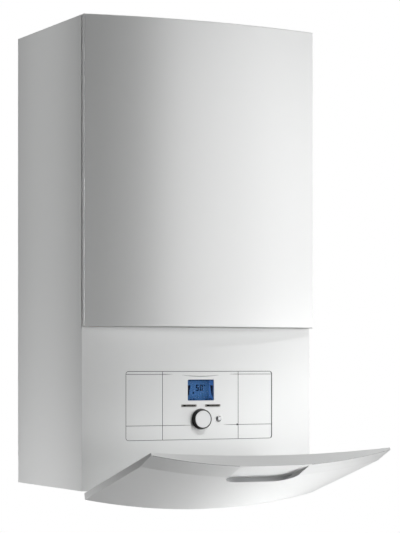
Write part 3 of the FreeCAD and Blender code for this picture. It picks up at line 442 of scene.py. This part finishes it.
def buildGrooves(shape):
    half, tip, rise = seamLines["half"], grooveLines["tip"], grooveLines["rise"]
    for level, ends in (("upper", "upperEnds"), ("lower", "lowerEnds")):
        z, (left, right) = grooveLines[level], grooveLines[ends]
        for x0, x1 in ((-half, left), (right, half)):
            line = straight(x0, z, x1, z)
            free = len(line) - 1 if abs(x1) < abs(x0) else 0  # the free end thins out
            widths = [grooveLines["width"] * swell(tip, rise, abs(k - free)) for k in range(len(line))]
            addRibbon(shape, line, widths, seamLines["proud"], seamLines["thick"])


seamFinish = makeFinish("seamShade", seamLook)
addPiece("panelSeams", buildSeams, "casing", "control_grey", seamFinish)
addPiece("panelGrooves", buildGrooves, "casing", "control_grey", seamFinish)

# thin arc under the bare name place, and the pin head where two lines meet

archLine = dict(half=36.0 * mm, level=-545.4 * mm, dip=2.2 * mm, width=0.9 * mm, tip=0.15, steps=32)
pinHead = dict(x=71.0 * mm, z=-631.4 * mm, r=1.6 * mm, proud=0.5 * mm, around=20, along=12)


def buildArch(shape):
    half, tip, steps = archLine["half"], archLine["tip"], archLine["steps"]
    path, widths = [], []
    for k in range(steps + 1):
        x = -half + 2 * half * k / steps
        path.append((x, archLine["level"] - archLine["dip"] * (1 - (x / half) ** 2)))
        widths.append(archLine["width"] * (tip + (1 - tip) * math.sin(math.pi * k / steps)))
    addRibbon(shape, path, widths, seamLines["proud"], seamLines["thick"])


def buildPinHead(shape):
    made = bmesh.ops.create_uvsphere(shape, u_segments=pinHead["around"], v_segments=pinHead["along"],
                                     radius=pinHead["r"])["verts"]
    bmesh.ops.scale(shape, vec=(1, pinHead["proud"] / pinHead["r"], 1), verts=made)
    bmesh.ops.translate(shape, vec=(pinHead["x"], fasciaY(pinHead["x"]), pinHead["z"]), verts=made)


addPiece("panelArch", buildArch, "casing", "control_grey", seamFinish)
addPiece("panelPin", buildPinHead, "casing", "control_grey", seamFinish)
print("stage: control panel lines added")


# display: dark digits and marks behind the window

lcdDigits = dict(figures="50", thick=0.12 * mm, tall=10.4 * mm, wide=5.6 * mm, stroke=1.7 * mm, gap=1.9 * mm,
                 lift=4.0 * mm, shift=1.0 * mm, ring=1.3 * mm, ringShift=0.6 * mm, ringSteps=16)
lcdEdges = dict(inset=0.8 * mm, wedge=6.0 * mm, waist=0.55, rise=5.0 * mm, low=5.0 * mm, tall=21.0 * mm,
                head=1.6 * mm, headGap=0.5 * mm, footGap=1.0 * mm,
                feet=((3.0, 5.5, 2.2), (11.0, 3.0, 3.1), (35.0, 4.0, 2.2), (42.0, 5.0, 3.1)),  # start, width, top
                dot=(10.5, 13.0, 11.5, 14.5))
inkLook = dict(color=(0.004, 0.010, 0.035), rough=0.7, grain=1500, bump=0.02, gloss=0.05)
segmentsOf = {"5": "afgcd", "0": "abcdef"}


def addDigit(shape, figure, x, z, face):
    stroke, half = lcdDigits["stroke"], lcdDigits["tall"] / 2
    right, top = x + lcdDigits["wide"], z + lcdDigits["tall"]
    bars = {"a": (x, right, top - stroke, top), "d": (x, right, z, z + stroke),
            "g": (x, right, z + half - stroke / 2, z + half + stroke / 2),
            "f": (x, x + stroke, z + half, top), "b": (right - stroke, right, z + half, top),
            "e": (x, x + stroke, z, z + half), "c": (right - stroke, right, z, z + half)}
    for key in segmentsOf[figure]:
        addBar(shape, *bars[key], face, lcdDigits["thick"])


def buildLcd(shape):
    low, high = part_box("display_module")
    face, centre = low.y, (low + high) / 2
    step = lcdDigits["wide"] + lcdDigits["gap"]
    base = centre.z - lcdDigits["tall"] / 2 + lcdDigits["lift"]
    for k, figure in enumerate(lcdDigits["figures"]):
        addDigit(shape, figure, centre.x + (k - 1) * step - lcdDigits["shift"], base, face)
    ring, count = lcdDigits["ring"], lcdDigits["ringSteps"]
    x, z = centre.x + step + lcdDigits["ringShift"], base + lcdDigits["tall"] - ring
    turns = [2 * math.pi * k / count for k in range(count)]
    addPlate(shape, [(x + ring * math.cos(a), z + ring * math.sin(a)) for a in turns], face, lcdDigits["thick"])


def buildLcdSurround(shape):
    low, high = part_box("display_module")
    face, thick, wedge = low.y, lcdDigits["thick"], lcdEdges["wedge"]
    left, right, waist = low.x + lcdEdges["inset"], high.x - lcdEdges["inset"], wedge * lcdEdges["waist"]
    z0, z1 = low.z + lcdEdges["low"], low.z + lcdEdges["low"] + lcdEdges["tall"]
    bend = z0 + lcdEdges["rise"]
    addPlate(shape, [(left, z0), (low.x + waist, bend), (low.x + wedge, z1), (left, z1)], face, thick)
    addPlate(shape, [(right, z0), (right, z1), (high.x - wedge, z1), (high.x - waist, bend)], face, thick)
    addBar(shape, left, right, high.z - lcdEdges["head"], high.z - lcdEdges["headGap"], face, thick)
    for start, wide, top in lcdEdges["feet"]:
        x = low.x + start * mm
        addBar(shape, x, x + wide * mm, low.z + lcdEdges["footGap"], low.z + top * mm, face, thick)
    x0, x1, z0, z1 = lcdEdges["dot"]
    addBar(shape, low.x + x0 * mm, low.x + x1 * mm, low.z + z0 * mm, low.z + z1 * mm, face, thick)


inkFinish = makeFinish("lcdInk", inkLook)
addPiece("lcdDigits", buildLcd, "casing", "display_blue", inkFinish)
addPiece("lcdMarks", buildLcdSurround, "casing", "display_blue", inkFinish)
print("stage: display marks added")


# knob: black bezel round the white face

knobBezel = dict(z=-621.2 * mm, face=-319.4 * mm, steps=64,
                 outline=((14.9, -0.9), (16.2, -0.9), (16.7, -0.5), (16.7, -0.1), (16.4, 0.25), (15.3, 0.35),
                          (14.9, 0.1)))


def buildBezel(shape):
    addTurned(shape, sized(knobBezel["outline"], mm, mm), (0, knobBezel["face"], knobBezel["z"]), (0, -1, 0),
              knobBezel["steps"])


addPiece("knobBezel", buildBezel, "knob", "knob_black")

# soft keys: a black pointer at the left end of each, then a row of small dark marks

keyMark = dict(reach=14.0 * mm, inset=1.4 * mm, length=6.2 * mm, nose=1.6 * mm, half=1.35 * mm, steps=8,
               proud=0.12 * mm, low=0.9 * mm,
               marks=((8.6, 2.2), (11.6, 3.4), (15.8, 2.0), (18.6, 3.0), (22.4, 2.6)))  # start, width
keyInkLook = dict(color=(0.004, 0.004, 0.004), rough=0.6, grain=1500, bump=0.03, gloss=0.1)


def keyMarkBuilder(node):
    def build(shape):
        low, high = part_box(node)
        middle, half, proud = (low.z + high.z) / 2, keyMark["half"], keyMark["proud"]
        end = (low.x + high.x) / 2 - keyMark["reach"]
        left = end + keyMark["inset"]
        nose, turn = left + keyMark["nose"], left + keyMark["length"] - half
        pointer = [(left, middle), (nose, middle - half), (turn, middle - half)]
        for k in range(1, keyMark["steps"]):
            angle = math.pi * k / keyMark["steps"] - math.pi / 2
            pointer.append((turn + half * math.cos(angle), middle + half * math.sin(angle)))
        pointer += [(turn, middle + half), (nose, middle + half)]
        addPlate(shape, pointer, low.y, proud)
        for start, wide in keyMark["marks"]:
            x = end + start * mm
            addBar(shape, x, x + wide * mm, middle - keyMark["low"], middle + keyMark["low"], low.y, proud)
    return build


keyInk = makeFinish("keyInk", keyInkLook)
addPiece("leftKeyMarks", keyMarkBuilder("left_soft_key"), "left_key", "key_grey", keyInk)
addPiece("rightKeyMarks", keyMarkBuilder("right_soft_key"), "right_key", "key_grey", keyInk)
print("stage: knob and keys dressed")


# flap, drawn shut and swung open with the hinge line

flapShape = dict(half=219.0 * mm, edge=-315.0 * mm, bow=23.0 * mm, floor=-738.0 * mm, top=-466.0 * mm,
                 band=45.0 * mm, recess=7.0 * mm, skin=2.2 * mm, hingeY=-304.6 * mm, hingeZ=-745.6 * mm, swing=73.26)


def flapArc(x, half, edge):
    return arcFace(x, half, edge, flapShape["bow"])


def swung(x, y, z):
    turn = math.radians(flapShape["swing"])
    dy, dz = y - flapShape["hingeY"], z - flapShape["hingeZ"]
    return (x, flapShape["hingeY"] + dy * math.cos(turn) - dz * math.sin(turn),
            flapShape["hingeZ"] + dy * math.sin(turn) + dz * math.cos(turn))


flapRibs = dict(places=(112.0, 150.0, 188.0), low=14.0 * mm, high=190.0 * mm, thick=1.6 * mm, tall=3.0 * mm,
                steps=12, tip=0.3, rise=6, sunk=0.5 * mm, draft=0.3 * mm)


def buildFlapRibs(shape):
    half, edge = flapShape["half"] - flapShape["skin"], flapShape["edge"] + flapShape["skin"]
    low, high, draft = flapRibs["low"], flapRibs["high"], flapRibs["draft"]
    for side in (-1, 1):
        for place in flapRibs["places"]:
            x, rows = side * place * mm, []
            near, far = x - flapRibs["thick"] / 2, x + flapRibs["thick"] / 2
            inner = flapArc(x, half, edge)
            foot = inner - flapRibs["sunk"]
            for k in range(flapRibs["steps"] + 1):
                part = k / flapRibs["steps"]
                crest = inner + flapRibs["tall"] * swell(flapRibs["tip"], flapRibs["rise"], min(part, 1 - part))
                z = flapShape["floor"] + low + (high - low) * part
                rows.append([swung(near, foot, z), swung(far, foot, z),
                             swung(far - draft, crest, z), swung(near + draft, crest, z)])
            addStrip(shape, rows)


addPiece("flapRibs", buildFlapRibs, "flap", "fascia_white")

# painted shade: a fine dark line for the shadow in the gap between the flap's end plate and its sloping band, to both
# sides of the finger grip

flapShadowLine = dict(start=66.0 * mm, reach=216.0 * mm, steps=40, below=0.15 * mm, width=0.8 * mm, thin=0.6,
                proud=0.05 * mm, thick=0.3 * mm)
# dark grey of the painted shade line, darker than the white flap
flapShadowLineLook = dict(color=(0.10, 0.102, 0.105), rough=0.7, grain=1500, bump=0.03, gloss=0.2)


def buildFlapShadowLine(shape):
    slope = flapShape["recess"] / flapShape["band"]
    start, reach, steps = flapShadowLine["start"], flapShadowLine["reach"], flapShadowLine["steps"]
    below, thick = flapShadowLine["below"], flapShadowLine["thick"]
    top = flapShape["top"] - below
    for side in (-1, 1):
        rows = []
        for k in range(steps + 1):
            x = side * (start + (reach - start) * k / steps)
            wide = flapShadowLine["width"] * (1 - flapShadowLine["thin"] * k / steps if side > 0 else 1)
            face = flapArc(x, flapShape["half"], flapShape["edge"] + flapShape["recess"]) - flapShadowLine["proud"]
            y0, y1 = face - below * slope, face - (below + wide) * slope
            rows.append([swung(x, y0, top), swung(x, y1, top - wide),
                         swung(x, y1 + thick, top - wide), swung(x, y0 + thick, top)])
        addStrip(shape, rows)


addPiece("flapShadowLine", buildFlapShadowLine, "flap", "fascia_white", makeFinish("flapGrooveShade", flapShadowLineLook))
print("stage: flap dressed")


# finger grip: a grey strip of painted shade on the lower wall of the scoop

gripShadePad = dict(half=64.0 * mm, low=-545.0 * mm, corner=28.0 * mm, deep=-330.0 * mm, start=196.0, bottom=270.0,
               stop=338.0, steps=12, lift=0.35 * mm, sunk=0.2 * mm, tip=0.12, rise=1 / 6, frontGap=0.5 * mm,
               backGap=0.3 * mm)
# grey of the painted shade in the scoop, darker than the white flap
gripShadeLook = dict(color=(0.46, 0.465, 0.47), rough=0.6, grain=1800, bump=0.12, gloss=0.3)


def buildGripShadePad(shape):
    corner, steps, path, rows = gripShadePad["corner"], gripShadePad["steps"], [], []
    for centre, first, last in ((-gripShadePad["half"] + corner, gripShadePad["start"], gripShadePad["bottom"]),
                                (gripShadePad["half"] - corner, gripShadePad["bottom"], gripShadePad["stop"])):
        path += [(centre, math.radians(first + (last - first) * k / steps)) for k in range(steps + 1)]
    inner, outer = corner - gripShadePad["lift"], corner + gripShadePad["sunk"]
    back = gripShadePad["deep"] - gripShadePad["backGap"]
    for k, (centre, angle) in enumerate(path):
        share = swell(gripShadePad["tip"], gripShadePad["rise"], min(k, len(path) - 1 - k))
        row = []
        for radius, ahead in ((inner, share), (inner, 0), (outer, 0), (outer, share)):
            x, z = centre + radius * math.cos(angle), gripShadePad["low"] + corner + radius * math.sin(angle)
            front = flapArc(x, flapShape["half"], flapShape["edge"]) + gripShadePad["frontGap"]
            row.append(swung(x, back - (back - front) * ahead, z))
        rows.append(row)
    addStrip(shape, rows)


addPiece("gripShadePad", buildGripShadePad, "flap", "control_grey", makeFinish("gripShadeGrey", gripShadeLook))

# rear frame: pressed stiffening beads inside the gap to the wall

rearBeads = dict(face=-16.0 * mm, width=14.0 * mm, tall=2.4 * mm, sunk=0.2 * mm, tip=0.12, rise=9, steps=24, around=8,
                 runs=((-130, -600, -130, -90), (130, -600, 130, -90), (-40, -600, -40, -90), (40, -600, 40, -90),
                       (-170, -645, 170, -645)))


def buildRearBeads(shape):
    foot = rearBeads["face"] - rearBeads["sunk"]
    for x0, z0, x1, z1 in rearBeads["runs"]:
        start, end = Vector((x0, z0)) * mm, Vector((x1, z1)) * mm
        along = (end - start).normalized()
        across = Vector((-along.y, along.x))
        rows = []
        for k in range(rearBeads["steps"] + 1):
            part = k / rearBeads["steps"]
            share = swell(rearBeads["tip"], rearBeads["rise"], min(part, 1 - part))
            spot = start + (end - start) * part
            row = []
            for j in range(rearBeads["around"] + 1):
                angle = math.pi * j / rearBeads["around"]
                side = spot + across * math.cos(angle) * rearBeads["width"] / 2 * share
                row.append((side.x, foot + rearBeads["tall"] * share * math.sin(angle), side.y))
            rows.append(row)
        addStrip(shape, rows)


addPiece("rearBeads", buildRearBeads, "casing", "galvanised_steel")

# domed screw head with a round drive recess, in shares of its radius and height
screwHead = dict(steps=24, outline=((0, -0.3), (1, -0.3), (1, 0.45), (0.86, 0.8), (0.6, 1), (0.42, 1), (0.36, 0.35),
                                    (0, 0.3)))

# flue flange: screws and two capped test points

flueTop = dict(ring=57.8 * mm, flange=62.0 * mm, screwTurns=(45, 135, 225, 315), screw=3.6 * mm, head=2.2 * mm,
               capTurns=(0, 180), capSteps=24,
               capOutline=((0, -0.3), (5.0, -0.3), (5.0, 2.1), (4.0, 2.52), (4.0, 6.02), (3.3, 7.0), (0, 7.0)))


def flueSpots(turns):
    low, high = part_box("flue_adaptor")
    centre, ring = (low + high) / 2, flueTop["ring"]
    return [(centre.x + ring * math.cos(math.radians(a)), centre.y + ring * math.sin(math.radians(a)),
             flueTop["flange"]) for a in turns]


def buildFlueScrews(shape):
    outline = sized(screwHead["outline"], flueTop["screw"], flueTop["head"])
    for spot in flueSpots(flueTop["screwTurns"]):
        addTurned(shape, outline, spot, (0, 0, 1), screwHead["steps"])


def buildTestCaps(shape):
    for spot in flueSpots(flueTop["capTurns"]):
        addTurned(shape, sized(flueTop["capOutline"], mm, mm), spot, (0, 0, 1), flueTop["capSteps"])


addPiece("flueScrews", buildFlueScrews, "casing", "bright_steel")
addPiece("testCaps", buildTestCaps, "casing", "seal_rubber")

# underside: rubber grommets round the pipes and screws in the hinge brackets

grommets = dict(pipes=("heating_flow_pipe", "hot_water_pipe", "gas_inlet_pipe", "cold_water_pipe",
                       "heating_return_pipe"),
                radii=(11.0, 7.5, 7.5, 7.5, 11.0), y=-62.0 * mm, under=-692.0 * mm, steps=40,
                lip=((0, 0.2), (4.5, 0.2), (4.5, -1.2), (3.375, -2.1), (1.35, -2.25), (0.9, -3.0), (0, -3.0)))


def buildGrommets(shape):
    for node, radius in zip(grommets["pipes"], grommets["radii"]):
        low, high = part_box(node)
        outline = [((radius + out) * mm, up * mm) for out, up in grommets["lip"]]
        spot = ((low.x + high.x) / 2, grommets["y"], grommets["under"])
        addTurned(shape, outline, spot, (0, 0, 1), grommets["steps"])


bracketScrews = dict(places=(-170.0, 170.0), y=-283.5 * mm, under=-742.4 * mm, r=3.0 * mm, h=1.6 * mm)


def buildBracketScrews(shape):
    outline = sized(screwHead["outline"], bracketScrews["r"], bracketScrews["h"])
    for x in bracketScrews["places"]:
        spot = (x * mm, bracketScrews["y"], bracketScrews["under"])
        addTurned(shape, outline, spot, (0, 0, -1), screwHead["steps"])


addPiece("pipeGrommets", buildGrommets, "casing", "seal_rubber")
addPiece("bracketScrews", buildBracketScrews, "casing", "bright_steel")
print("stage: rear, flue and underside dressed")


# camera, light and floor

camera = dict(place=(-1.558, -3.388, -0.523), yaw=26.83, focal=2002.0, horizon=362.0, tall=533, sensor=36.0,
              reach=60.0)  # focal length and horizon in pixels of the frame
eye = bpy.data.objects.new("photoCamera", bpy.data.cameras.new("photoCamera"))
scene.collection.objects.link(eye)
eye.data.sensor_width = camera["sensor"]
eye.data.lens = camera["focal"] / camera["tall"] * camera["sensor"]
eye.data.shift_y = (camera["horizon"] - camera["tall"] / 2) / camera["tall"]
eye.data.clip_end = camera["reach"]
eye.location = camera["place"]
eye.rotation_euler = (math.radians(90), 0, -math.radians(camera["yaw"]))
scene.camera = eye

# large soft boxes, and three narrow ones held off the rest of the object by their spread
lamps = {
    "frontSoft": dict(place=(1.15, -3.35, -0.12), aim=(0, -0.3, -0.4), wide=0.8, tall=1.9, power=14.0),
    "turnSoft": dict(place=(2.05, -2.9, -0.12), aim=(0, -0.3, -0.4), wide=1.2, tall=1.9, power=20.0),
    "rightSoft": dict(place=(2.77, -1.92, -0.3), aim=(0, -0.32, -0.4), wide=1.6, tall=1.6, power=17.0),
    "grazeRight": dict(place=(3.2, -0.85, -0.45), aim=(0, -0.3, -0.4), wide=1.6, tall=1.8, power=30.0, gloss=False),
    "topSoft": dict(place=(0, 0.85, 2.3), aim=(0, -0.15, 0.06), wide=1.0, tall=0.8, power=30.0),
    "sideFill": dict(place=(-2.6, 0.75, -0.36), aim=(-0.22, -0.14, -0.36), wide=0.32, tall=1.7, power=1.15,
                     spread=14.0),
    "underFlap": dict(place=(1.1, -0.05, -1.27), aim=(0.14, -0.45, -0.775), wide=0.54, tall=0.07, power=0.52,
                      spread=9.0),
    "lowFascia": dict(place=(0.4, -1.5, 0.9), aim=(-0.12, -0.33, -0.74), wide=0.9, tall=0.12, power=0.26,
                      spread=7.0),
}
for name, lamp in lamps.items():
    light = bpy.data.lights.new(name, "AREA")
    light.shape = "RECTANGLE"
    light.size, light.size_y = lamp["wide"], lamp["tall"]
    light.energy = lamp["power"]
    light.spread = math.radians(lamp.get("spread", 180.0))
    stand = bpy.data.objects.new(name, light)
    stand.location = lamp["place"]
    stand.visible_glossy = lamp.get("gloss", True)
    stand.rotation_euler = (Vector(lamp["aim"]) - Vector(lamp["place"])).to_track_quat("-Z", "Y").to_euler()
    scene.collection.objects.link(stand)

# white backdrop for the camera and through glass; gloss sees a studio that runs from dark on the left to white
worldLook = dict(ambient=0.0, backdrop=1.0, turn=22.0, darkUpTo=-0.1, whiteFrom=0.6)


def makeWorld():
    world = bpy.data.worlds.new("paleStudio")
    scene.world = world
    world.use_nodes = True
    sky = world.node_tree
    sky.nodes.clear()
    link = sky.links.new
    turn = math.radians(worldLook["turn"])
    rays = addNode(sky, "ShaderNodeLightPath", -600, 400)
    heading = addNode(sky, "ShaderNodeTexCoord", -900, 0)
    across = addNode(sky, "ShaderNodeVectorMath", -700, 0, operation="DOT_PRODUCT")
    setInputs(across, {1: (math.cos(turn), math.sin(turn), 0)})
    link(heading.outputs["Generated"], across.inputs[0])
    shade = addNode(sky, "ShaderNodeMapRange", -500, 0)
    setInputs(shade, {"From Min": worldLook["darkUpTo"], "From Max": worldLook["whiteFrom"]})
    link(across.outputs["Value"], shade.inputs["Value"])
    plain = addNode(sky, "ShaderNodeBackground", -100, 150)
    setInputs(plain, {"Strength": worldLook["ambient"]})
    studio = addNode(sky, "ShaderNodeBackground", -100, 0)
    link(shade.outputs[0], studio.inputs["Color"])
    white = addNode(sky, "ShaderNodeBackground", -100, -150)
    setInputs(white, {"Color": (1, 1, 1, 1), "Strength": worldLook["backdrop"]})
    gloss = addNode(sky, "ShaderNodeMixShader", 150, 100)
    link(rays.outputs["Is Glossy Ray"], gloss.inputs[0])
    link(plain.outputs[0], gloss.inputs[1])
    link(studio.outputs[0], gloss.inputs[2])
    seen = addNode(sky, "ShaderNodeMath", -100, 400, operation="MAXIMUM")
    link(rays.outputs["Is Camera Ray"], seen.inputs[0])
    link(rays.outputs["Is Transmission Ray"], seen.inputs[1])
    blend = addNode(sky, "ShaderNodeMixShader", 400, 0)
    link(seen.outputs[0], blend.inputs[0])
    link(gloss.outputs[0], blend.inputs[1])
    link(white.outputs[0], blend.inputs[2])
    outlet = addNode(sky, "ShaderNodeOutputWorld", 600, 0)
    link(blend.outputs[0], outlet.inputs["Surface"])


# plain white further out, while the shadow stays near the object; gloss sees the near floor a little darker
floorLook = dict(level=-1.3, half=16.0, color=(0.62, 0.62, 0.62), rough=0.9, fadeFrom=0.5, fadeTo=2.6, near=0.55,
                 far=1.0, glossNear=0.42, glossFar=1.0)


def makeFloor():
    mesh = bpy.data.meshes.new("studioFloor")
    half, level = floorLook["half"], floorLook["level"]
    corners = [(-half, -half, level), (half, -half, level), (half, half, level), (-half, half, level)]
    mesh.from_pydata(corners, [], [(0, 1, 2, 3)])
    floor = bpy.data.objects.new("studioFloor", mesh)
    scene.collection.objects.link(floor)
    material, tree, shader = startMaterial("floorPale")
    mesh.materials.append(material)
    link = tree.links.new
    setInputs(shader, {"Base Color": (*floorLook["color"], 1), "Roughness": floorLook["rough"]})
    coord = addNode(tree, "ShaderNodeTexCoord", -900, 0)
    flat = addNode(tree, "ShaderNodeVectorMath", -700, 0, operation="MULTIPLY")
    setInputs(flat, {1: (1, 1, 0)})
    link(coord.outputs["Object"], flat.inputs[0])
    away = addNode(tree, "ShaderNodeVectorMath", -500, 0, operation="LENGTH")
    link(flat.outputs[0], away.inputs[0])
    fades = []
    for y, near, far in ((0, "near", "far"), (-300, "glossNear", "glossFar")):
        fade = addNode(tree, "ShaderNodeMapRange", -300, y)
        setInputs(fade, {"From Min": floorLook["fadeFrom"], "From Max": floorLook["fadeTo"],
                         "To Min": floorLook[near], "To Max": floorLook[far]})
        link(away.outputs["Value"], fade.inputs["Value"])
        fades.append(fade.outputs[0])
    path = addNode(tree, "ShaderNodeLightPath", -500, 300)
    seen = addNode(tree, "ShaderNodeMath", -300, 300, operation="MAXIMUM")
    link(path.outputs["Is Camera Ray"], seen.inputs[0])
    link(path.outputs["Is Transmission Ray"], seen.inputs[1])
    share = addNode(tree, "ShaderNodeMath", -100, 300, operation="MULTIPLY")
    link(seen.outputs[0], share.inputs[0])
    link(fades[0], share.inputs[1])
    total = addNode(tree, "ShaderNodeMath", 100, 300, operation="MULTIPLY_ADD")
    link(path.outputs["Is Glossy Ray"], total.inputs[0])
    link(fades[1], total.inputs[1])
    link(share.outputs[0], total.inputs[2])
    glow = addNode(tree, "ShaderNodeEmission", 0, -400)
    mix = addNode(tree, "ShaderNodeMixShader", 300, 0)
    link(total.outputs[0], mix.inputs[0])
    link(shader.outputs[0], mix.inputs[1])
    link(glow.outputs[0], mix.inputs[2])
    outlet = next(n for n in tree.nodes if n.type == "OUTPUT_MATERIAL")
    link(mix.outputs[0], outlet.inputs["Surface"])


makeWorld()
makeFloor()
scene.view_settings.view_transform = "Standard"
print("stage: camera, lamps and floor set")
